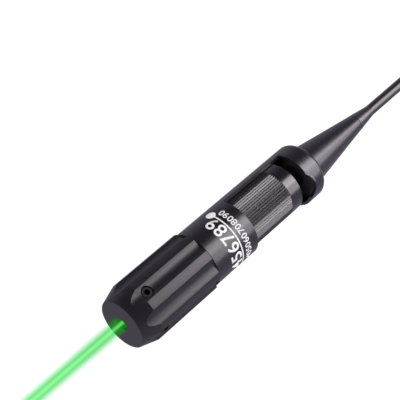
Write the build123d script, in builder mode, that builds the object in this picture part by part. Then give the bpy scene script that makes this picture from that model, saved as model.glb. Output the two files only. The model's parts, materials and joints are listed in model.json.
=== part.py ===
from build123d import *
import math
import os

# Green laser bore sighter with a tapered muzzle cone and a thin arbor. Millimetres.
# +X runs along the axis from the laser aperture to the arbor's tip. +Z is up, through one of the four
# adjusting screws. The origin is on the axis, where the round arbor leaves its tapered shoulder.
# Most outlines are (distance behind the front face, radius) points turned about the X axis.

# Overall
BODY_LENGTH = 130.0         # front face to the arbor's root
ARBOR_LENGTH = 68.0         # round arbor behind its root
RUNNING_GAP = 0.05          # radial clearance of threads and running fits
EDGE_BREAK = 0.2
SEAM_BREAK = 0.12           # edges where the cone meets the arbor

# Fluted head
HEAD_RADIUS = 11.0
FACE_RADIUS = 9.0
NOSE_LENGTH = 6.5
HEAD_LENGTH = 33.9
FLUTE_COUNT = 8
FLUTE_DEPTH = 1.25
FLUTE_HALF_ANGLE = 14.2     # degrees
APERTURE_RADIUS = 2.0
APERTURE_LENGTH = 2.4
CAVITY_RADIUS = 7.4         # room for the laser barrel to tilt
CAVITY_END = 22.5

# Housing tube, its cradle and its collar
TUBE_RADIUS = 10.4
RELIEF_WIDTH = 0.35         # groove behind the head
RELIEF_DEPTH = 0.4
SPIGOT_RADIUS = 9.1         # tube's male thread inside the head
SPIGOT_START = 24.0
MODULE_BORE_RADIUS = 7.6
MODULE_BORE_END = 46.0
WEB_BORE_RADIUS = 6.6
CAP_SEAT_START = 50.4
CAP_THREAD_RADIUS = 8.2
WINDOW_START = 53.9
WINDOW_END = 82.8
WINDOW_ANGLE = 50.0         # degrees from +Z towards -Y
WINDOW_BELOW_AXIS = 0.55
CRADLE_RADIUS = 9.35
CRADLE_END = 86.0
NOTCH_ANGLE = 56.0          # degrees from +Z towards -Y
NOTCH_RADIUS = 6.0
NOTCH_DEPTH = 2.4
COLLAR_END = 90.8
COLLAR_ROUND = 2.2
STUD_RADIUS = 4.0           # stud of the muzzle cone

# Muzzle cone and arbor
CONE_BASE_RADIUS = 7.52
CONE_BASE_CHAMFER = 0.6
CONE_END = 120.8
CONE_END_RADIUS = 3.35
STUD_START = 86.6
ARBOR_STUD_RADIUS = 2.0
ARBOR_STUD_START = 114.8
ARBOR_RADIUS = 2.05
ARBOR_CHAMFER = 0.4
TIP_THREAD_RADIUS = 1.25    # M3 tapping size
TIP_THREAD_DEPTH = 6.0

# Adjusting screws, M4 with a 2 mm hexagon socket
SCREW_STATION = 9.4
SCREW_RADIUS = 2.0
SCREW_TOP = 9.6             # distance of the socket end from the axis
SCREW_LENGTH = 3.0
SCREW_EDGE = 0.3
SOCKET_ACROSS_FLATS = 2.0
SOCKET_DEPTH = 1.6
TIP_RADIUS = 1.2
TIP_STEM_RADIUS = 0.6
TIP_STEM_LENGTH = 0.6
TIP_GAP = 0.1               # tip to barrel

# Laser barrel and what it holds
BARREL_RADIUS = 6.0
BARREL_BORE = 4.5
BARREL_START = 4.5
BARREL_END = 36.0
BARREL_RECESS_START = 33.5
BARREL_RECESS_RADIUS = 5.3
PIVOT_STATION = 31.0
PIVOT_SECTION = 0.7
INSERT_RADIUS = BARREL_BORE - RUNNING_GAP
CELL_RING_START = 4.7
CELL_RING_END = 8.7
CELL_RING_LIP = 1.0
CELL_RING_MOUTH = 2.6
LENS_RADIUS = 3.3
LENS_EDGE = 1.3
LENS_CROWN = 0.8
HOLDER_START = 14.0
HOLDER_END = 20.0
FILTER_RADIUS = 3.0
FILTER_THICKNESS = 0.8
EXPANDER_RADIUS = 1.9
EXPANDER_THICKNESS = 1.2
EXPANDER_HOLLOW = 0.35
CRYSTAL_WIDTH = 1.5
CRYSTAL_LENGTH = 2.6
LIGHT_PATH_RADIUS = 0.6
DIODE_HOLDER_END = 24.2
DIODE_CAN_RADIUS = 2.3
DIODE_FLANGE_RADIUS = 2.8
DIODE_FLANGE_START = 22.0
DIODE_FLANGE_END = 23.2
LEAD_RADIUS = 0.22
LEAD_OFFSET = 1.1
LEAD_END = 28.0
BOARD_START = 25.0
BOARD_END = 34.6
BOARD_WIDTH = 8.0
BOARD_THICKNESS = 0.8
CONTACT_BOARD_RADIUS = 5.2
CONTACT_BOARD_START = 34.7
CONTACT_BOARD_END = 35.7

# Springs
LENS_SPRING_RADIUS = 3.7
LENS_SPRING_WIRE = 0.25
LENS_SPRING_TURNS = 4
CONTACT_SPRING_RADIUS = 3.4
CONTACT_SPRING_WIRE = 0.3
CONTACT_SPRING_TURNS = 6
CONTACT_SPRING_TAPER = 5.0  # degrees
CELL_SPRING_RADIUS = 3.8
CELL_SPRING_WIRE = 0.3
CELL_SPRING_TURNS = 3
CELL_SPRING_TAPER = 12.0    # degrees

# Button cells, sleeve and battery cap
CELL_RADIUS = 5.8
CELL_HEIGHT = 5.4
CELL_FRONT = 49.5
CELL_POLE_RADIUS = 4.8
CELL_POLE_HEIGHT = 0.4
CELL_EDGE = 0.3
SLEEVE_START = 51.4
SLEEVE_END = 66.0
SLEEVE_RADIUS = 6.5
SLEEVE_BORE = 5.9
CAP_FRONT = 51.25
CAP_SHOULDER = 53.95
CAP_CAVITY_RADIUS = 6.6
CAP_CAVITY_END = 71.8
CAP_RADIUS = 9.1
CAP_END = 79.6
CAP_EDGE = 0.7
KNURL_START = 54.2
KNURL_END = 73.9
KNURL_COUNT = 62
KNURL_DEPTH = 0.26
KNURL_HALF_WIDTH = 0.41

# Seal between the head and the tube
SEAL_STATION = 31.0
SEAL_SECTION = 0.4
SEAL_GROOVE_HALF_WIDTH = 0.6
SEAL_GROOVE_DEPTH = 0.9

os.makedirs("parts", exist_ok=True)


def station(distance):
    """X of a point this far behind the front face."""
    return distance - BODY_LENGTH


def turned(*outline, mode=Mode.ADD):
    """Turn an outline of (distance, radius) points about the X axis."""
    with BuildSketch(Plane.XZ) as profile:
        with BuildLine():
            Polyline(*[(station(distance), radius) for distance, radius in outline], close=True)
        make_face()
    revolve(profile.sketch, axis=Axis.X, mode=mode)


def bored(start, end, radius):
    """Cut a round hole on the axis from start to end."""
    turned((start, 0), (start, radius), (end, radius), (end, 0), mode=Mode.SUBTRACT)


def ring(section_centre, centre_radius, section_radius):
    """A ring of round section about the axis."""
    with BuildSketch(Plane.XZ) as section:
        with Locations((station(section_centre), centre_radius)):
            Circle(section_radius)
    revolve(section.sketch, axis=Axis.X)


def coil(start, end, radius, wire, turns, taper=0):
    """A coil spring on the axis, its wire inside the span from start to end."""
    height = end - start - 2 * wire
    origin = (station(start) + wire, 0, 0)
    path = Helix(height / turns, height, radius, center=origin, direction=(1, 0, 0), cone_angle=taper,
                 mode=Mode.PRIVATE)
    with BuildSketch(Plane(origin=path @ 0, z_dir=path % 0)) as section:
        Circle(wire)
    sweep(section.sketch, path=path, is_frenet=True)


def finish(node, name):
    """Label a finished piece and write it."""
    node.part.label = name
    export_step(node.part, f"parts/{name}.step")


# ---------------------------------------------------------------- casing

# Fluted head: the tool's round side leaves eight flutes, which run out in the tapered nose.
half_chord = HEAD_RADIUS * math.sin(math.radians(FLUTE_HALF_ANGLE))
chord_depth = FLUTE_DEPTH - HEAD_RADIUS * (1 - math.cos(math.radians(FLUTE_HALF_ANGLE)))
flute_radius = (half_chord**2 + chord_depth**2) / (2 * chord_depth)

with BuildPart() as head_casing:
    turned(
        (0, 0), (0, FACE_RADIUS - EDGE_BREAK), (EDGE_BREAK, FACE_RADIUS), (NOSE_LENGTH, HEAD_RADIUS),
        (HEAD_LENGTH - EDGE_BREAK, HEAD_RADIUS), (HEAD_LENGTH, HEAD_RADIUS - EDGE_BREAK), (HEAD_LENGTH, 0),
    )
    with BuildSketch(Plane.YZ.offset(station(0))):
        with PolarLocations(HEAD_RADIUS - FLUTE_DEPTH + flute_radius, FLUTE_COUNT):
            Circle(flute_radius)
    extrude(amount=HEAD_LENGTH, mode=Mode.SUBTRACT)
    bored(0, APERTURE_LENGTH, APERTURE_RADIUS)
    turned((0, 0), (0, APERTURE_RADIUS + EDGE_BREAK), (EDGE_BREAK, APERTURE_RADIUS), (EDGE_BREAK, 0),
           mode=Mode.SUBTRACT)
    bored(APERTURE_LENGTH, CAVITY_END, CAVITY_RADIUS)
    bored(CAVITY_END, HEAD_LENGTH, SPIGOT_RADIUS)
    for plane in (Plane.XY, Plane.XZ):
        with BuildSketch(plane):
            with Locations((station(SCREW_STATION), 0)):
                Circle(SCREW_RADIUS + RUNNING_GAP)
        extrude(amount=HEAD_RADIUS, both=True, mode=Mode.SUBTRACT)
finish(head_casing, "head_casing")

# Tube: threaded spigot, battery seat, half-open cradle with a notch for the fingertip, and rear collar.
notch_direction = Vector(0, 0, 1).rotate(Axis.X, NOTCH_ANGLE)

with BuildPart() as housing_tube:
    turned(
        (SPIGOT_START, MODULE_BORE_RADIUS), (SPIGOT_START, SPIGOT_RADIUS), (HEAD_LENGTH, SPIGOT_RADIUS),
        (HEAD_LENGTH, TUBE_RADIUS - RELIEF_DEPTH), (HEAD_LENGTH + RELIEF_WIDTH, TUBE_RADIUS - RELIEF_DEPTH),
        (HEAD_LENGTH + RELIEF_WIDTH, TUBE_RADIUS), (COLLAR_END, TUBE_RADIUS),
        (COLLAR_END, STUD_RADIUS), (CRADLE_END, STUD_RADIUS), (CRADLE_END, CRADLE_RADIUS),
        (WINDOW_START, CRADLE_RADIUS), (WINDOW_START, CAP_THREAD_RADIUS + RUNNING_GAP),
        (CAP_SEAT_START, CAP_THREAD_RADIUS + RUNNING_GAP), (CAP_SEAT_START, WEB_BORE_RADIUS),
        (MODULE_BORE_END, WEB_BORE_RADIUS), (MODULE_BORE_END, MODULE_BORE_RADIUS),
    )
    rear_edge = housing_tube.edges().group_by(Axis.X)[-1].sort_by(SortBy.RADIUS)[-1]
    fillet(rear_edge, radius=COLLAR_ROUND)
    turned(
        (SEAL_STATION - SEAL_GROOVE_HALF_WIDTH, SPIGOT_RADIUS - SEAL_GROOVE_DEPTH),
        (SEAL_STATION - SEAL_GROOVE_HALF_WIDTH, SPIGOT_RADIUS),
        (SEAL_STATION + SEAL_GROOVE_HALF_WIDTH, SPIGOT_RADIUS),
        (SEAL_STATION + SEAL_GROOVE_HALF_WIDTH, SPIGOT_RADIUS - SEAL_GROOVE_DEPTH),
        mode=Mode.SUBTRACT,
    )
    with BuildSketch(Plane.YZ.offset(station(WINDOW_START))):
        with PolarLocations(TUBE_RADIUS - WINDOW_BELOW_AXIS, 1, start_angle=90 + WINDOW_ANGLE):
            Rectangle(2 * TUBE_RADIUS, 3 * TUBE_RADIUS)
    extrude(amount=WINDOW_END - WINDOW_START, mode=Mode.SUBTRACT)
    notch_centre = station(WINDOW_END + NOTCH_DEPTH - NOTCH_RADIUS)
    with BuildSketch(Plane(origin=(notch_centre, 0, 0), x_dir=(1, 0, 0), z_dir=notch_direction)):
        Circle(NOTCH_RADIUS)
    extrude(amount=HEAD_RADIUS, mode=Mode.SUBTRACT)
    outer_wall = housing_tube.faces().filter_by(GeomType.CYLINDER).sort_by(SortBy.AREA)[-1]
    window_rim = outer_wall.edges().filter_by_position(
        Axis.X, station(WINDOW_START), station(WINDOW_END + NOTCH_DEPTH)
    )
    chamfer(window_rim, length=EDGE_BREAK)
finish(housing_tube, "housing_tube")

with BuildPart() as head_seal_ring:
    ring(SEAL_STATION, SPIGOT_RADIUS - SEAL_SECTION - RUNNING_GAP, SEAL_SECTION)
finish(head_seal_ring, "head_seal_ring")

with BuildPart() as muzzle_cone:
    turned(
        (STUD_START, 0), (STUD_START, STUD_RADIUS - RUNNING_GAP), (COLLAR_END, STUD_RADIUS - RUNNING_GAP),
        (COLLAR_END, CONE_BASE_RADIUS - CONE_BASE_CHAMFER),
        (COLLAR_END + CONE_BASE_CHAMFER, CONE_BASE_RADIUS),
        (CONE_END - SEAM_BREAK, CONE_END_RADIUS), (CONE_END, CONE_END_RADIUS - SEAM_BREAK),
        (CONE_END, ARBOR_STUD_RADIUS),
        (ARBOR_STUD_START, ARBOR_STUD_RADIUS), (ARBOR_STUD_START, 0),
    )
finish(muzzle_cone, "muzzle_cone")

with BuildPart() as arbor_rod:
    turned(
        (ARBOR_STUD_START, 0), (ARBOR_STUD_START, ARBOR_STUD_RADIUS - RUNNING_GAP),
        (CONE_END, ARBOR_STUD_RADIUS - RUNNING_GAP), (CONE_END, CONE_END_RADIUS - SEAM_BREAK),
        (CONE_END + SEAM_BREAK, CONE_END_RADIUS), (BODY_LENGTH, ARBOR_RADIUS),
        (BODY_LENGTH + ARBOR_LENGTH - ARBOR_CHAMFER, ARBOR_RADIUS),
        (BODY_LENGTH + ARBOR_LENGTH, ARBOR_RADIUS - ARBOR_CHAMFER),
        (BODY_LENGTH + ARBOR_LENGTH, TIP_THREAD_RADIUS),
        (BODY_LENGTH + ARBOR_LENGTH - TIP_THREAD_DEPTH, TIP_THREAD_RADIUS),
        (BODY_LENGTH + ARBOR_LENGTH - TIP_THREAD_DEPTH, 0),
    )
finish(arbor_rod, "arbor_rod")

# ---------------------------------------------------------------- adjusting screws

# Each screw is drawn along a plane whose normal points away from the axis through its hole.
screw_planes = {
    "upper": Plane((station(SCREW_STATION), 0, 0), x_dir=(1, 0, 0), z_dir=(0, 0, 1)),
    "lower": Plane((station(SCREW_STATION), 0, 0), x_dir=(1, 0, 0), z_dir=(0, 0, -1)),
    "right": Plane((station(SCREW_STATION), 0, 0), x_dir=(1, 0, 0), z_dir=(0, 1, 0)),
    "left": Plane((station(SCREW_STATION), 0, 0), x_dir=(1, 0, 0), z_dir=(0, -1, 0)),
}
screw_foot = SCREW_TOP - SCREW_LENGTH
tip_foot = BARREL_RADIUS + TIP_GAP

for side, plane in screw_planes.items():
    with BuildPart() as adjusting_screw:
        with BuildSketch(plane.offset(screw_foot)):
            Circle(SCREW_RADIUS)
        extrude(amount=SCREW_LENGTH)
        chamfer(adjusting_screw.edges(), length=SCREW_EDGE)
        with BuildSketch(plane.offset(SCREW_TOP)):
            RegularPolygon(SOCKET_ACROSS_FLATS / 2, 6, major_radius=False)
        extrude(amount=-SOCKET_DEPTH, mode=Mode.SUBTRACT)
        with BuildSketch(plane.offset(screw_foot)):
            Circle(TIP_STEM_RADIUS + RUNNING_GAP)
        extrude(amount=TIP_STEM_LENGTH + RUNNING_GAP, mode=Mode.SUBTRACT)
    finish(adjusting_screw, f"{side}_screw")

    with BuildPart() as screw_tip:
        with BuildSketch(plane.offset(tip_foot)):
            Circle(TIP_RADIUS)
        extrude(amount=screw_foot - RUNNING_GAP - tip_foot)
        with BuildSketch(plane.offset(tip_foot)):
            Circle(TIP_STEM_RADIUS)
        extrude(amount=screw_foot + TIP_STEM_LENGTH - tip_foot)
    finish(screw_tip, f"{side}_screw_tip")

# ---------------------------------------------------------------- laser module

with BuildPart() as pivot_ring:
    ring(PIVOT_STATION, (BARREL_RADIUS + MODULE_BORE_RADIUS) / 2, PIVOT_SECTION)
finish(pivot_ring, "pivot_ring")

with BuildPart() as laser_barrel:
    turned(
        (BARREL_START, BARREL_BORE), (BARREL_START, BARREL_RADIUS), (BARREL_END, BARREL_RADIUS),
        (BARREL_END, BARREL_RECESS_RADIUS), (BARREL_RECESS_START, BARREL_RECESS_RADIUS),
        (BARREL_RECESS_START, BARREL_BORE),
    )
finish(laser_barrel, "laser_barrel")

lens_seat = CELL_RING_START + CELL_RING_LIP
with BuildPart() as lens_cell:
    turned(
        (CELL_RING_START, CELL_RING_MOUTH), (CELL_RING_START, INSERT_RADIUS), (CELL_RING_END, INSERT_RADIUS),
        (CELL_RING_END, LENS_RADIUS), (lens_seat, LENS_RADIUS), (lens_seat, CELL_RING_MOUTH),
    )
finish(lens_cell, "lens_cell")

lens_front = lens_seat + LENS_CROWN / 2
with BuildPart() as collimating_lens:
    with BuildSketch(Plane.XZ):
        with BuildLine():
            rim = station(lens_front + LENS_CROWN)
            axis_point = (station(lens_front), 0)
            RadiusArc(axis_point, (rim, LENS_RADIUS),
                      (LENS_RADIUS**2 + LENS_CROWN**2) / (2 * LENS_CROWN))
            Polyline((rim, LENS_RADIUS), (rim + LENS_EDGE, LENS_RADIUS), (rim + LENS_EDGE, 0), axis_point)
        make_face()
    revolve(axis=Axis.X)
finish(collimating_lens, "collimating_lens")

with BuildPart() as lens_spring:
    coil(CELL_RING_END, HOLDER_START, LENS_SPRING_RADIUS, LENS_SPRING_WIRE, LENS_SPRING_TURNS)
finish(lens_spring, "lens_spring")

# Copper block that holds the filter, the expander and the crystal on the light's path.
filter_end = HOLDER_START + FILTER_THICKNESS
expander_end = filter_end + EXPANDER_THICKNESS
hollow_radius = (EXPANDER_RADIUS**2 + EXPANDER_HOLLOW**2) / (2 * EXPANDER_HOLLOW)
crystal_start = HOLDER_END - CRYSTAL_LENGTH
with BuildPart() as crystal_holder:
    turned(
        (HOLDER_START, FILTER_RADIUS), (HOLDER_START, INSERT_RADIUS), (HOLDER_END, INSERT_RADIUS),
        (HOLDER_END, LIGHT_PATH_RADIUS), (expander_end, LIGHT_PATH_RADIUS), (expander_end, EXPANDER_RADIUS),
        (filter_end, EXPANDER_RADIUS), (filter_end, FILTER_RADIUS),
    )
    with BuildSketch(Plane.YZ.offset(station(crystal_start))):
        Rectangle(CRYSTAL_WIDTH, CRYSTAL_WIDTH)
    extrude(amount=CRYSTAL_LENGTH, mode=Mode.SUBTRACT)
finish(crystal_holder, "crystal_holder")

with BuildPart() as infrared_filter:
    with BuildSketch(Plane.YZ.offset(station(HOLDER_START))):
        Circle(FILTER_RADIUS)
    extrude(amount=FILTER_THICKNESS)
finish(infrared_filter, "infrared_filter")

with BuildPart() as expander_lens:
    with BuildSketch(Plane.XZ):
        with BuildLine():
            hollow_point = (station(expander_end - EXPANDER_HOLLOW), 0)
            rear_rim = (station(expander_end), EXPANDER_RADIUS)
            front_rim = (station(filter_end), EXPANDER_RADIUS)
            RadiusArc(rear_rim, hollow_point, -hollow_radius)
            Polyline(hollow_point, (station(filter_end), 0), front_rim, rear_rim)
        make_face()
    revolve(axis=Axis.X)
finish(expander_lens, "expander_lens")

with BuildPart() as laser_crystal:
    with BuildSketch(Plane.YZ.offset(station(crystal_start))):
        Rectangle(CRYSTAL_WIDTH, CRYSTAL_WIDTH)
    extrude(amount=CRYSTAL_LENGTH)
finish(laser_crystal, "laser_crystal")

with BuildPart() as diode_holder:
    turned(
        (HOLDER_END, DIODE_CAN_RADIUS), (HOLDER_END, INSERT_RADIUS), (DIODE_HOLDER_END, INSERT_RADIUS),
        (DIODE_HOLDER_END, DIODE_FLANGE_RADIUS), (DIODE_FLANGE_START, DIODE_FLANGE_RADIUS),
        (DIODE_FLANGE_START, DIODE_CAN_RADIUS),
    )
finish(diode_holder, "diode_holder")

# Leads lie on the board: two on its upper face and one below.
lead_height = BOARD_THICKNESS / 2 + LEAD_RADIUS
with BuildPart() as pump_diode:
    turned(
        (HOLDER_END, 0), (HOLDER_END, DIODE_CAN_RADIUS), (DIODE_FLANGE_START, DIODE_CAN_RADIUS),
        (DIODE_FLANGE_START, DIODE_FLANGE_RADIUS), (DIODE_FLANGE_END, DIODE_FLANGE_RADIUS),
        (DIODE_FLANGE_END, 0),
    )
    with BuildSketch(Plane.YZ.offset(station(DIODE_FLANGE_END))):
        with Locations((-LEAD_OFFSET, lead_height), (LEAD_OFFSET, lead_height), (0, -lead_height)):
            Circle(LEAD_RADIUS)
    extrude(amount=LEAD_END - DIODE_FLANGE_END)
finish(pump_diode, "pump_diode")

with BuildPart() as driver_board:
    with BuildSketch(Plane.XY.offset(-BOARD_THICKNESS / 2)):
        with Locations((station((BOARD_START + BOARD_END) / 2), 0)):
            Rectangle(BOARD_END - BOARD_START, BOARD_WIDTH)
    extrude(amount=BOARD_THICKNESS)
finish(driver_board, "driver_board")

# Amplifier, trimmer, transistor and two resistors: (distance, y, length, width, height)
component_boxes = [
    (30.2, 0, 2.8, 3.6, 1.2), (33.2, -2.2, 1.8, 2.2, 1.3), (33.2, 1.8, 1.6, 2.6, 1.0),
    (30.2, 2.9, 1.6, 0.9, 0.5), (30.2, -2.9, 1.6, 0.9, 0.5),
]
with BuildPart() as board_components:
    for distance, across, length, width, height in component_boxes:
        with BuildSketch(Plane.XY.offset(BOARD_THICKNESS / 2)):
            with Locations((station(distance), across)):
                Rectangle(length, width)
        extrude(amount=height)
finish(board_components, "board_components")

with BuildPart() as contact_board:
    with BuildSketch(Plane.YZ.offset(station(CONTACT_BOARD_START))):
        Circle(CONTACT_BOARD_RADIUS)
    extrude(amount=CONTACT_BOARD_END - CONTACT_BOARD_START)
finish(contact_board, "contact_board")

with BuildPart() as contact_spring:
    coil(CONTACT_BOARD_END, CELL_FRONT, CONTACT_SPRING_RADIUS, CONTACT_SPRING_WIRE, CONTACT_SPRING_TURNS,
         -CONTACT_SPRING_TAPER)
finish(contact_spring, "contact_spring")

# ---------------------------------------------------------------- battery

cell_names = ("front_cell", "middle_cell", "rear_cell")
for index, name in enumerate(cell_names):
    pole = CELL_FRONT + index * CELL_HEIGHT
    can = pole + CELL_POLE_HEIGHT
    base = pole + CELL_HEIGHT
    with BuildPart() as button_cell:
        turned(
            (pole, 0), (pole, CELL_POLE_RADIUS), (can, CELL_POLE_RADIUS), (can, CELL_RADIUS - CELL_EDGE),
            (can + CELL_EDGE, CELL_RADIUS), (base - CELL_EDGE, CELL_RADIUS), (base, CELL_RADIUS - CELL_EDGE),
            (base, 0),
        )
    finish(button_cell, name)

with BuildPart() as cell_sleeve:
    turned((SLEEVE_START, SLEEVE_BORE), (SLEEVE_START, SLEEVE_RADIUS), (SLEEVE_END, SLEEVE_RADIUS),
           (SLEEVE_END, SLEEVE_BORE))
finish(cell_sleeve, "cell_sleeve")

cells_end = CELL_FRONT + len(cell_names) * CELL_HEIGHT
with BuildPart() as cell_spring:
    coil(cells_end, CAP_CAVITY_END - 2 * RUNNING_GAP, CELL_SPRING_RADIUS, CELL_SPRING_WIRE, CELL_SPRING_TURNS,
         CELL_SPRING_TAPER)
finish(cell_spring, "cell_spring")

with BuildPart() as battery_cap:
    turned(
        (CAP_FRONT, CAP_CAVITY_RADIUS), (CAP_FRONT, CAP_THREAD_RADIUS), (CAP_SHOULDER, CAP_THREAD_RADIUS),
        (CAP_SHOULDER, CAP_RADIUS), (CAP_END - CAP_EDGE, CAP_RADIUS), (CAP_END, CAP_RADIUS - CAP_EDGE),
        (CAP_END, 0), (CAP_CAVITY_END, 0), (CAP_CAVITY_END, CAP_CAVITY_RADIUS),
    )
    with BuildSketch(Plane.YZ.offset(station(KNURL_START))):
        with PolarLocations(0, KNURL_COUNT):
            Polygon(
                (CAP_RADIUS - KNURL_DEPTH, 0), (CAP_RADIUS + KNURL_DEPTH, 2 * KNURL_HALF_WIDTH),
                (CAP_RADIUS + KNURL_DEPTH, -2 * KNURL_HALF_WIDTH), align=None,
            )
    extrude(amount=KNURL_END - KNURL_START, mode=Mode.SUBTRACT)
finish(battery_cap, "battery_cap")
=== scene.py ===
import json
import math

import bmesh
import bpy
from mathutils import Matrix, Vector


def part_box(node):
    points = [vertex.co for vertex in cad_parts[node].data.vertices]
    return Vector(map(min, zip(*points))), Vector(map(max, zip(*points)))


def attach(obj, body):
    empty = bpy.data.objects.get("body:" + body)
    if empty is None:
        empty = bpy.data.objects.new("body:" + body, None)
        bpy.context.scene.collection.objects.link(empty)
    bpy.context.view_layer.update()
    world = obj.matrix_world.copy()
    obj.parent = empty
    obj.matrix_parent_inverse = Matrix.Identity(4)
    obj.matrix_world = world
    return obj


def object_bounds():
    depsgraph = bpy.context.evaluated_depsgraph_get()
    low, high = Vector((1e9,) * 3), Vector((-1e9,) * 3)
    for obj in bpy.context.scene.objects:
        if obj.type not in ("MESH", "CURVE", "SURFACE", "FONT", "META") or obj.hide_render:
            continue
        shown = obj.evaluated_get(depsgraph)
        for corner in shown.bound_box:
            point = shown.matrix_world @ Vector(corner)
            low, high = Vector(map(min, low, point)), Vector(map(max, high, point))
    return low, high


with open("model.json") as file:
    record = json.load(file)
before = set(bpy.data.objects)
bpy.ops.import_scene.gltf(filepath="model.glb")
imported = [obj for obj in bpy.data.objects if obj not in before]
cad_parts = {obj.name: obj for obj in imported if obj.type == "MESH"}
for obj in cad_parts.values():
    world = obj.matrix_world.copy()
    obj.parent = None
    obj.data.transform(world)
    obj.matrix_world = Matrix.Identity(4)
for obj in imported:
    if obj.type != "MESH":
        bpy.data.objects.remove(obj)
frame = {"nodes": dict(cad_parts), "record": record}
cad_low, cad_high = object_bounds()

# Looks of the laser bore sighter, in metres. +X runs from the laser aperture to the arbor's tip, +Z is up
# through the upper adjusting screw, and angles round the axis are counted from +Z towards -Y.
MM = 0.001
nodes = frame["nodes"]
face_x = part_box("head_casing")[0].x
tube_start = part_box("head_casing")[1].x
tube_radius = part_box("housing_tube")[1].y
cap_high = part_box("battery_cap")[1]
floor_z = cad_low.z


def add_object(name, data):
    """A new object in the scene for a mesh, curve, camera or light."""
    thing = bpy.data.objects.new(name, data)
    bpy.context.scene.collection.objects.link(thing)
    return thing


def add_node(tree, kind, inputs=None, **settings):
    """A new node with its settings made and its inputs linked or set."""
    node = tree.nodes.new(kind)
    for key, value in settings.items():
        setattr(node, key, value)
    for key, value in (inputs or {}).items():
        if isinstance(value, bpy.types.NodeSocket):
            tree.links.new(value, node.inputs[key])
        else:
            node.inputs[key].default_value = value
    return node


# ---------------------------------------------------------------- camera

CAMERA_AIM = Vector((-79.6, 13.7, 4.5)) * MM
CAMERA_DISTANCE = 395.7 * MM
CAMERA_AZIMUTH = math.radians(-62.13)
CAMERA_ELEVATION = math.radians(54.92)
CAMERA_ROLL = math.radians(17.47)
CAMERA_LENS = 107.2
CAMERA_CLIP = 10 * MM


def direction_from(azimuth, elevation):
    """Unit vector towards a viewer at this azimuth and elevation, in radians."""
    flat = math.cos(elevation)
    return Vector((math.sin(azimuth) * flat, -math.cos(azimuth) * flat, math.sin(elevation)))


def add_camera():
    data = bpy.data.cameras.new("camera")
    data.lens = CAMERA_LENS
    data.clip_start = CAMERA_CLIP
    camera = add_object("camera", data)
    back = direction_from(CAMERA_AZIMUTH, CAMERA_ELEVATION)
    level = (-back).to_track_quat("-Z", "Y").to_matrix().to_4x4()
    turn = Matrix.Rotation(CAMERA_ROLL, 4, "Z")
    camera.matrix_world = Matrix.Translation(CAMERA_AIM + back * CAMERA_DISTANCE) @ level @ turn
    bpy.context.scene.camera = camera


# ---------------------------------------------------------------- materials

MIX_FIRST, MIX_SECOND = 6, 7            # a colour mix node's two inputs
MIX_RESULT = 2                          # and its output
NOISE_LOW, NOISE_HIGH = 0.3, 0.7        # most of a noise lies between them
EDGE_SAMPLES = 6
EDGE_TURN = 0.94                        # cosine of the turn from face to rounded edge, at a full edge
FACE_TURN = 0.99                        # and where the edge begins


class Shader:
    """A principled material with short ways to add nodes to it.

    The values that it starts with are for its sockets, with an underscore for each space in their names.
    """

    def __init__(self, name, **values):
        self.material = bpy.data.materials.new(name)
        self.material.use_nodes = True
        self.tree = self.material.node_tree
        self.main = self.tree.nodes["Principled BSDF"]
        self.place = self.add("ShaderNodeTexCoord").outputs["Object"]
        for key, value in values.items():
            self.main.inputs[key.replace("_", " ")].default_value = value

    def add(self, kind, inputs=None, **settings):
        return add_node(self.tree, kind, inputs, **settings)

    def link(self, output, name):
        self.tree.links.new(output, self.main.inputs[name])

    def scaled(self, scale):
        """Object coordinates stretched by a factor along each axis."""
        return self.add("ShaderNodeMapping", {"Vector": self.place, "Scale": scale}).outputs["Vector"]

    def noise(self, scale, detail, roughness=0.5, stretch=(1, 1, 1)):
        inputs = {"Vector": self.scaled(stretch), "Scale": scale, "Detail": detail, "Roughness": roughness}
        return self.add("ShaderNodeTexNoise", inputs).outputs["Fac"]

    def ramp(self, factor, low, high, start=0.0, end=1.0):
        """Map a factor from start..end to a value from low to high."""
        inputs = {"Value": factor, "From Min": start, "From Max": end, "To Min": low, "To Max": high}
        return self.add("ShaderNodeMapRange", inputs).outputs["Result"]

    def uneven_gloss(self, noise, roughness, below, above):
        """Roughness that a noise moves from so much below its value to so much above it."""
        low, high = roughness - below, roughness + above
        self.link(self.ramp(noise, low, high, NOISE_LOW, NOISE_HIGH), "Roughness")

    def tint(self, factor, first, second):
        """Colour between two colours; the first may be another node's output."""
        if not isinstance(first, bpy.types.NodeSocket):
            first = (*first, 1)
        inputs = {"Factor": factor, MIX_FIRST: first, MIX_SECOND: (*second, 1)}
        return self.add("ShaderNodeMix", inputs, data_type="RGBA").outputs[MIX_RESULT]

    def sharp_edges(self, width):
        """1 along outer and inner edges, 0 on smooth surfaces."""
        rounded = self.add("ShaderNodeBevel", {"Radius": width}, samples=EDGE_SAMPLES).outputs["Normal"]
        flat = self.add("ShaderNodeNewGeometry").outputs["Normal"]
        turn = self.add("ShaderNodeVectorMath", {0: rounded, 1: flat}, operation="DOT_PRODUCT")
        return self.ramp(turn.outputs["Value"], 1, 0, EDGE_TURN, FACE_TURN)

    def bump(self, *layers):
        """Bump from (height output, distance, strength) layers."""
        normal = None
        for height, distance, strength in layers:
            node = self.add("ShaderNodeBump", {"Height": height, "Distance": distance, "Strength": strength})
            if normal:
                self.tree.links.new(normal, node.inputs["Normal"])
            normal = node.outputs["Normal"]
        self.link(normal, "Normal")


ANODISED_DARK = (0.0085, 0.0075, 0.0100)
ANODISED_LIGHT = (0.0125, 0.0110, 0.0145)
SPECK_DEPTH = 0.01 * MM
RING_DEPTH = 0.012 * MM
RING_STRETCH = (8, 0.35, 0.35)
# Painted light: a lighter colour inside the cradle, standing in for light in the shaded gap behind the cap.
PAINTED_GAP_LIGHT = (0.034, 0.030, 0.033)
GAP_LIGHT_PAST_CAP = 0.3 * MM                # reaches just past the cradle's wall
GAP_LIGHT_EDGE = 0.1 * MM
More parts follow.
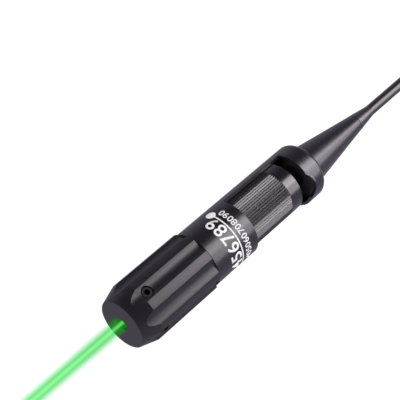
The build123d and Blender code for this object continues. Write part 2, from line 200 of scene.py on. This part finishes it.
# Painted glint: a near-white colour on sharp edges near one point on the notch, in place of a reflection of
# the lights.
PAINTED_GLINT_COLOUR = (0.72, 0.71, 0.70)
GLINT_WIDTH = 0.3 * MM
GLINT_REACH = 3.2 * MM
GLINT_ANGLE = math.radians(38)
GLINT_BEHIND_CAP = 5.2 * MM


def anodised(name, roughness, turned=0.25, grain=0.3, ior=1.62, glint_at=None, gap_light_radius=None):
    """Black anodised aluminium: faint purple cast, fine etched grain and turning marks round the axis.

    Near a point its sharp edges can carry a painted glint, and inside a radius it can be painted lighter, as
    painted light in a shaded gap.
    """
    shader = Shader(name, IOR=ior, Metallic=0.0)
    cloud = shader.noise(scale=220, detail=4)
    colour = shader.tint(cloud, ANODISED_DARK, ANODISED_LIGHT)
    # Painted light: lighter inside the radius, lifting the shaded gap's tone.
    if gap_light_radius:
        radius = shader.add("ShaderNodeVectorMath", {0: shader.scaled((0, 1, 1))}, operation="LENGTH")
        inside = shader.ramp(radius.outputs["Value"], 1, 0, gap_light_radius - GAP_LIGHT_EDGE, gap_light_radius)
        colour = shader.tint(inside, colour, PAINTED_GAP_LIGHT)
    # Painted glint: near-white on the sharp edges near that point.
    if glint_at:
        away = shader.add("ShaderNodeVectorMath", {0: shader.place, 1: glint_at}, operation="DISTANCE")
        near = shader.ramp(away.outputs["Value"], 1, 0, GLINT_REACH / 2, GLINT_REACH)
        edges = shader.sharp_edges(GLINT_WIDTH)
        glint = shader.add("ShaderNodeMath", {0: edges, 1: near}, operation="MULTIPLY").outputs[0]
        colour = shader.tint(glint, colour, PAINTED_GLINT_COLOUR)
    shader.link(colour, "Base Color")
    speck = shader.noise(scale=5200, detail=2, roughness=0.6)
    shader.uneven_gloss(speck, roughness, below=0.05, above=0.06)
    rings = shader.noise(scale=900, detail=2, stretch=RING_STRETCH)
    shader.bump((speck, SPECK_DEPTH, grain), (rings, RING_DEPTH, turned))
    return shader.material


METAL_SHADE = 0.82
SCRATCH_DEPTH = 0.01 * MM
SCRATCH_STRENGTH = 0.2
SCRATCH_STRETCH = (6, 0.5, 0.5)


def metal(name, colour, roughness):
    """Bare turned metal with fine marks round the axis."""
    shader = Shader(name, Metallic=1.0)
    cloud = shader.noise(scale=300, detail=3)
    darker = tuple(METAL_SHADE * c for c in colour)
    shader.link(shader.tint(cloud, darker, colour), "Base Color")
    marks = shader.noise(scale=1200, detail=3, roughness=0.6, stretch=SCRATCH_STRETCH)
    shader.uneven_gloss(marks, roughness, below=0.06, above=0.08)
    shader.bump((marks, SCRATCH_DEPTH, SCRATCH_STRENGTH))
    return shader.material


MOULDED_SHADE = 1.25
MOULDED_LIFT = 0.004
SPECKLE_DEPTH = 0.02 * MM


def moulded(name, colour, roughness, speckle=0.15):
    """Rubber, resin, film or solder mask: nearly plain with a fine uneven surface."""
    shader = Shader(name)
    cloud = shader.noise(scale=700, detail=4)
    lighter = tuple(min(1.0, c * MOULDED_SHADE + MOULDED_LIFT) for c in colour)
    shader.link(shader.tint(cloud, colour, lighter), "Base Color")
    fine = shader.noise(scale=3800, detail=3)
    shader.uneven_gloss(fine, roughness, below=0.08, above=0.08)
    shader.bump((fine, SPECKLE_DEPTH, speckle))
    return shader.material


GLASS_IOR = 1.52
GLASS_CLEARNESS = 0.85
GLASS_SHADE = 0.94
GLASS_ROUGHNESS = 0.02
GLASS_UNEVEN = 0.05


def clear(name, colour, glow_colour=(0, 0, 0), glow=0.0):
    """Coated optical glass, or the laser's crystal. The lens that the light leaves by glows."""
    shader = Shader(name, IOR=GLASS_IOR, Transmission_Weight=GLASS_CLEARNESS,
                    Emission_Color=(*glow_colour, 1), Emission_Strength=glow)
    haze = shader.noise(scale=500, detail=2)
    shader.link(shader.ramp(haze, GLASS_ROUGHNESS, GLASS_ROUGHNESS + GLASS_UNEVEN), "Roughness")
    darker = tuple(GLASS_SHADE * c for c in colour)
    shader.link(shader.tint(haze, colour, darker), "Base Color")
    return shader.material


# A painted glint on the notch's upper edge, and painted light lifting the shaded gap inside the cradle.
notch_glint_spot = Vector((cap_high.x + GLINT_BEHIND_CAP, -tube_radius * math.sin(GLINT_ANGLE),
                     tube_radius * math.cos(GLINT_ANGLE)))
cradle_gap_light_radius = cap_high.y + GAP_LIGHT_PAST_CAP

NODE_FINISHES = {
    "head_casing": anodised("head_finish", roughness=0.38, turned=0.1, grain=0.5, ior=1.6),
    "housing_tube": anodised("tube_finish", roughness=0.30, glint_at=notch_glint_spot, gap_light_radius=cradle_gap_light_radius),
    "muzzle_cone": anodised("cone_finish", roughness=0.30, ior=1.52),
    "arbor_rod": anodised("arbor_finish", roughness=0.30),
    "battery_cap": anodised("cap_finish", roughness=0.22, turned=0.03, grain=0.06),
    "collimating_lens": clear("lit_lens", (0.5, 1.0, 0.6), glow_colour=(0.08, 1.0, 0.16), glow=6.0),
}
SLOT_FINISHES = {
    "black_steel": metal("screw_steel", (0.10, 0.095, 0.09), roughness=0.45),
    "brass": metal("brass", (0.78, 0.58, 0.28), roughness=0.3),
    "copper": metal("copper", (0.76, 0.44, 0.30), roughness=0.34),
    "steel": metal("steel", (0.62, 0.61, 0.60), roughness=0.25),
    "nickel": metal("nickel", (0.74, 0.73, 0.71), roughness=0.2),
    "rubber": moulded("rubber", (0.018, 0.018, 0.018), roughness=0.75, speckle=0.3),
    "board": moulded("board", (0.02, 0.14, 0.05), roughness=0.4),
    "component": moulded("component", (0.02, 0.02, 0.02), roughness=0.5),
    "sleeve": moulded("sleeve", (0.75, 0.74, 0.70), roughness=0.35),
    "optic": clear("optic", (0.85, 0.95, 0.9)),
    "crystal": clear("crystal", (0.8, 0.6, 0.85)),
}


def dress_nodes():
    """Give every CAD node its own finish or its slot's."""
    slots = {part["node"]: part["material_slot"] for part in frame["record"]["subparts"]}
    for name, node in nodes.items():
        finish = NODE_FINISHES.get(name) or SLOT_FINISHES[slots[name]]
        node.data.materials.clear()
        node.data.materials.append(finish)


# ---------------------------------------------------------------- printed scale

PRINT_THICKNESS = 0.03 * MM
PRINT_SINK = 0.02 * MM
INK_DARK = (0.80, 0.80, 0.79)
INK_LIGHT = (0.95, 0.95, 0.94)
INK_ROUGHNESS = (0.42, 0.6)
INK_DEPTH = 0.01 * MM
INK_GRAIN = 0.3
BEND_STEP = math.radians(2.0)
SCALE_LINE = 12.2 * MM                  # behind the head's rear edge
SCALE_LINE_WIDTH = 0.5 * MM
SCALE_LINE_TURN = math.radians(210)
DOT_ANGLE = math.radians(-35)
DOT_RADIUS = 1.7 * MM
DOT_SIDES = 48
NUMBERS = range(9, -1, -1)
FIRST_NUMBER = math.radians(-16.8)
NUMBER_STEP = math.radians(20)
NUMBER_HEIGHT = 4.8 * MM
NUMBER_GAP = 0.75 * MM
FIGURE_HEIGHT = 2.4 * MM
FIGURE_GAP = 3.95 * MM
FONT_HEIGHT = 0.7                       # a figure's height, of the font's size
FONT_BOLDNESS = 0.018                   # of a figure's height


def print_white():
    """White screen-printed ink, a little uneven in its colour and gloss."""
    shader = Shader("print_white")
    cover = shader.noise(scale=1500, detail=4)
    shader.link(shader.tint(cover, INK_DARK, INK_LIGHT), "Base Color")
    shader.link(shader.ramp(cover, *INK_ROUGHNESS), "Roughness")
    shader.bump((cover, INK_DEPTH, INK_GRAIN))
    return shader.material


def rectangle(low, high):
    mesh = bmesh.new()
    corners = [(low[0], low[1]), (high[0], low[1]), (high[0], high[1]), (low[0], high[1])]
    mesh.faces.new([mesh.verts.new((x, y, 0)) for x, y in corners])
    return mesh


def disc(radius, sides):
    mesh = bmesh.new()
    bmesh.ops.create_circle(mesh, cap_ends=True, segments=sides, radius=radius)
    return mesh


def glyphs(text, height):
    """A flat mesh of bold figures, centred across, with their foot on y = 0."""
    curve = bpy.data.curves.new("figures", "FONT")
    curve.body = text
    curve.size = height / FONT_HEIGHT
    curve.offset = height * FONT_BOLDNESS
    curve.align_x = "CENTER"
    piece = add_object("figures", curve)
    bpy.context.view_layer.update()
    flat = bpy.data.meshes.new_from_object(piece)
    mesh = bmesh.new()
    mesh.from_mesh(flat)
    bpy.data.objects.remove(piece)
    bpy.data.curves.remove(curve)
    bpy.data.meshes.remove(flat)
    return mesh


def wrapped(mesh, angle, foot_x):
    """Bend a flat mesh round the tube: its x runs round the axis and its y towards the head."""
    across = [v.co.x for v in mesh.verts]
    step = tube_radius * BEND_STEP
    for cut in range(math.floor(min(across) / step), math.ceil(max(across) / step) + 1):
        everything = mesh.verts[:] + mesh.edges[:] + mesh.faces[:]
        bmesh.ops.bisect_plane(mesh, geom=everything, plane_co=(cut * step, 0, 0), plane_no=(1, 0, 0))
    grown = bmesh.ops.extrude_face_region(mesh, geom=mesh.faces[:])
    raised = {v for v in grown["geom"] if isinstance(v, bmesh.types.BMVert)}
    for vertex in mesh.verts:
        radius = tube_radius + (PRINT_THICKNESS if vertex in raised else -PRINT_SINK)
        turn = angle - vertex.co.x / tube_radius
        x = foot_x - vertex.co.y
        vertex.co = (x, -radius * math.sin(turn), radius * math.cos(turn))
    bmesh.ops.recalc_face_normals(mesh, faces=mesh.faces[:])
    return mesh


def join(name, meshes, material):
    """One object from several bmeshes."""
    whole = bmesh.new()
    for mesh in meshes:
        part = bpy.data.meshes.new("part")
        mesh.to_mesh(part)
        mesh.free()
        whole.from_mesh(part)
        bpy.data.meshes.remove(part)
    data = bpy.data.meshes.new(name)
    whole.to_mesh(data)
    whole.free()
    data.materials.append(material)
    return add_object(name, data)


def printed_scale():
    """Numbers 9 to 0 round the tube, a line from an index dot along their feet, and tens behind it."""
    line_x = tube_start + SCALE_LINE
    line = rectangle((-SCALE_LINE_TURN * tube_radius, -SCALE_LINE_WIDTH / 2), (0, SCALE_LINE_WIDTH / 2))
    prints = [wrapped(line, DOT_ANGLE, line_x), wrapped(disc(DOT_RADIUS, DOT_SIDES), DOT_ANGLE, line_x)]
    for place, number in enumerate(NUMBERS):
        angle = FIRST_NUMBER + place * NUMBER_STEP
        prints.append(wrapped(glyphs(f"{number}", NUMBER_HEIGHT), angle, line_x - NUMBER_GAP))
        prints.append(wrapped(glyphs(f"{number}0", FIGURE_HEIGHT), angle, line_x + FIGURE_GAP))
    piece = join("scale_print", prints, print_white())
    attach(piece, "root")


# ---------------------------------------------------------------- beam

# It lies a little off the body's axis, by the offset, and is densest along its own axis.
BEAM_RADIUS = 3.4 * MM
BEAM_SIDES = 64
BEAM_START = 2.0 * MM                   # inside the aperture
BEAM_LENGTH = 90 * MM
BEAM_FADE = 40 * MM                     # the far stretch that fades out
BEAM_OFFSET = Vector((0, 0.45, 0.15)) * MM
BEAM_DENSITY = 820
BEAM_SOFTNESS = 1.56                    # power by which the density grows from the side to the axis
BEAM_TINT = (0.0, 0.55, 0.15, 1)
BEAM_COLOUR = (0.0, 1.0, 0.0, 1)
BEAM_GLOW = 0.217                       # of its density
BEAM_STEP = 0.1                         # of the default, because the beam is long and thin
CORE_RADIUS = 0.87 * MM
CORE_COLOUR = (0.92, 0.95, 0.74, 1)
CORE_GLOW = 600


def beam_material():
    """Green light in the air: soft sides, a paler core, and a fade towards its far end."""
    material = bpy.data.materials.new("beam_light")
    material.use_nodes = True
    tree = material.node_tree
    tree.nodes.clear()

    def add(kind, inputs, **settings):
        return add_node(tree, kind, inputs, **settings).outputs[0]

    place = add_node(tree, "ShaderNodeTexCoord").outputs["Object"]
    across = add("ShaderNodeMapping", {"Vector": place, "Location": -BEAM_OFFSET / BEAM_RADIUS,
                                       "Scale": (0, 1 / BEAM_RADIUS, 1 / BEAM_RADIUS)})
    gradient = add_node(tree, "ShaderNodeTexGradient", {"Vector": across}, gradient_type="SPHERICAL")
    inward = gradient.outputs["Fac"]
    along = add("ShaderNodeSeparateXYZ", {"Vector": place})
    end = face_x + BEAM_START - BEAM_LENGTH
    fade = add("ShaderNodeMapRange", {"Value": along, "From Min": end, "From Max": end + BEAM_FADE,
                                      "To Max": BEAM_DENSITY})
    soft = add("ShaderNodeMath", {0: inward, 1: BEAM_SOFTNESS}, operation="POWER")
    density = add("ShaderNodeMath", {0: soft, 1: fade}, operation="MULTIPLY")
    glow = add("ShaderNodeMath", {0: density, 1: BEAM_GLOW}, operation="MULTIPLY")
    middle = add("ShaderNodeMapRange", {"Value": inward, "From Min": 1 - CORE_RADIUS / BEAM_RADIUS,
                                        "To Max": CORE_GLOW / BEAM_DENSITY})
    core = add("ShaderNodeMath", {0: middle, 1: fade}, operation="MULTIPLY")
    haze = add("ShaderNodeVolumeAbsorption", {"Color": BEAM_TINT, "Density": density})
    for colour, strength in ((BEAM_COLOUR, glow), (CORE_COLOUR, core)):
        light = add("ShaderNodeEmission", {"Color": colour, "Strength": strength})
        haze = add("ShaderNodeAddShader", {0: haze, 1: light})
    add_node(tree, "ShaderNodeOutputMaterial", {"Volume": haze})
    material.cycles.volume_step_rate = BEAM_STEP
    return material


def beam():
    """The laser's light in the air in front of the aperture. It isn't a piece."""
    mesh = bmesh.new()
    bmesh.ops.create_cone(mesh, cap_ends=True, segments=BEAM_SIDES, radius1=BEAM_RADIUS, radius2=BEAM_RADIUS,
                          depth=BEAM_LENGTH)
    bmesh.ops.rotate(mesh, verts=mesh.verts[:], matrix=Matrix.Rotation(math.pi / 2, 3, "Y"))
    middle = Vector((face_x + BEAM_START - BEAM_LENGTH / 2, 0, 0)) + BEAM_OFFSET
    bmesh.ops.translate(mesh, verts=mesh.verts[:], vec=middle)
    piece = join("beam", [mesh], beam_material())
    piece.visible_shadow = False
    piece.visible_diffuse = False
    piece.visible_glossy = False


# ---------------------------------------------------------------- floor, lights and room

WHITE = (1.0, 1.0, 1.0)
FLOOR_HALF_SIDE = 3.0
FLOOR_GLOW = 0.93
PAPER_DARK = (0.19, 0.19, 0.19)
PAPER_LIGHT = (0.21, 0.21, 0.21)

STRIP_HEIGHT = 0.6
STRIP_START = 0.2
STRIP_BEND = 0.70
STRIP_END = 1.6
PINK_WHITE = (1.0, 0.94, 0.98)
LILAC_WHITE = (0.99, 0.93, 1.0)
# Degrees from +Z towards -Y, width, span along X, brightness and colour.
STRIPS = {
    "main_strip": (18, 0.32, (STRIP_START, STRIP_BEND), 22.8, PINK_WHITE),
    "far_strip": (25, 0.17, (STRIP_BEND, STRIP_END), 24.0, PINK_WHITE),
    "side_strip": (49, 0.46, (STRIP_START, STRIP_END), 14.3, LILAC_WHITE),
}
FILL_PLACE = (-0.75, 0.22, 0.56)
FILL_BACK = (-0.75, 0.25, 0.62)
FILL_SIZE = (0.8, 0.8)
FILL_POWER = 6

ROOM_COLOUR = (0.85, 0.80, 1.0, 1)
# Along an axis of the direction looked in: from, to, and the strength or its factor there.
ROOM_LEVEL = ("Z", 0.0, 0.72, 0.45, 0.03)
ROOM_FACTORS = (("X", 0.45, 0.85, 1.0, 1.5), ("X", 0.86, 0.97, 1.0, 0.35))


def floor_material():
    """White paper, lit mostly from below, so that shadows on it stay faint."""
    shader = Shader("floor_paper", Roughness=0.8, Emission_Color=(*WHITE, 1), Emission_Strength=FLOOR_GLOW)
    fibre = shader.noise(scale=60, detail=3)
    shader.link(shader.tint(fibre, PAPER_DARK, PAPER_LIGHT), "Base Color")
    return shader.material


def add_floor():
    """Pale floor under the body. The black sides mirror the room below it instead of the floor."""
    mesh = bmesh.new()
    bmesh.ops.create_grid(mesh, x_segments=1, y_segments=1, size=FLOOR_HALF_SIDE)
    bmesh.ops.translate(mesh, verts=mesh.verts[:], vec=(0, 0, floor_z))
    floor = join("floor", [mesh], floor_material())
    floor.visible_glossy = False


def area_light(name, centre, away, size, power, colour):
    """A soft box whose back looks along away; its size is along the body's axis, then across it."""
    data = bpy.data.lights.new(name, "AREA")
    data.shape = "RECTANGLE"
    data.size, data.size_y = size
    data.energy = power
    data.color = colour
    light = add_object(name, data)
    away = Vector(away).normalized()
    along = (Vector((1, 0, 0)) - away * away.x).normalized()
    turned = Matrix((along, away.cross(along), away)).transposed().to_4x4()
    light.matrix_world = Matrix.Translation(centre) @ turned
    return light


def strip_light(name, angle, width, span, brightness, colour):
    """A long box parallel to the body, this many degrees from +Z towards -Y; its span is along X."""
    turn = math.radians(angle)
    away = Vector((0, -math.sin(turn), math.cos(turn)))
    start, end = span
    centre = away * STRIP_HEIGHT + Vector(((start + end) / 2, 0, 0))
    length = end - start
    area_light(name, centre, away, (length, width), brightness * length * width, colour)


def room():
    """A dim room: darkest overhead, light below the horizon and round the arbor's line, dark along it."""
    world = bpy.data.worlds.new("room")
    bpy.context.scene.world = world
    world.use_nodes = True
    tree = world.node_tree
    background = tree.nodes["Background"]
    background.inputs["Color"].default_value = ROOM_COLOUR
    place = add_node(tree, "ShaderNodeTexCoord").outputs["Generated"]
    split = add_node(tree, "ShaderNodeSeparateXYZ", {0: place})

    def ramp(axis, start, end, low, high):
        inputs = {"Value": split.outputs[axis], "From Min": start, "From Max": end,
                  "To Min": low, "To Max": high}
        node = add_node(tree, "ShaderNodeMapRange", inputs, interpolation_type="SMOOTHSTEP")
        return node.outputs["Result"]

    strength = ramp(*ROOM_LEVEL)
    for factor in ROOM_FACTORS:
        product = add_node(tree, "ShaderNodeMath", {0: strength, 1: ramp(*factor)}, operation="MULTIPLY")
        strength = product.outputs[0]
    tree.links.new(strength, background.inputs["Strength"])
    bpy.context.scene.view_settings.view_transform = "Standard"


def studio():
    """Floor, two strips end to end over the body, a wider, dimmer one beside it, a soft fill and a room."""
    add_floor()
    for name, values in STRIPS.items():
        strip_light(name, *values)
    fill = area_light("fill_box", FILL_PLACE, FILL_BACK, FILL_SIZE, FILL_POWER, WHITE)
    fill.visible_glossy = False
    room()


add_camera()
dress_nodes()
printed_scale()
beam()
studio()
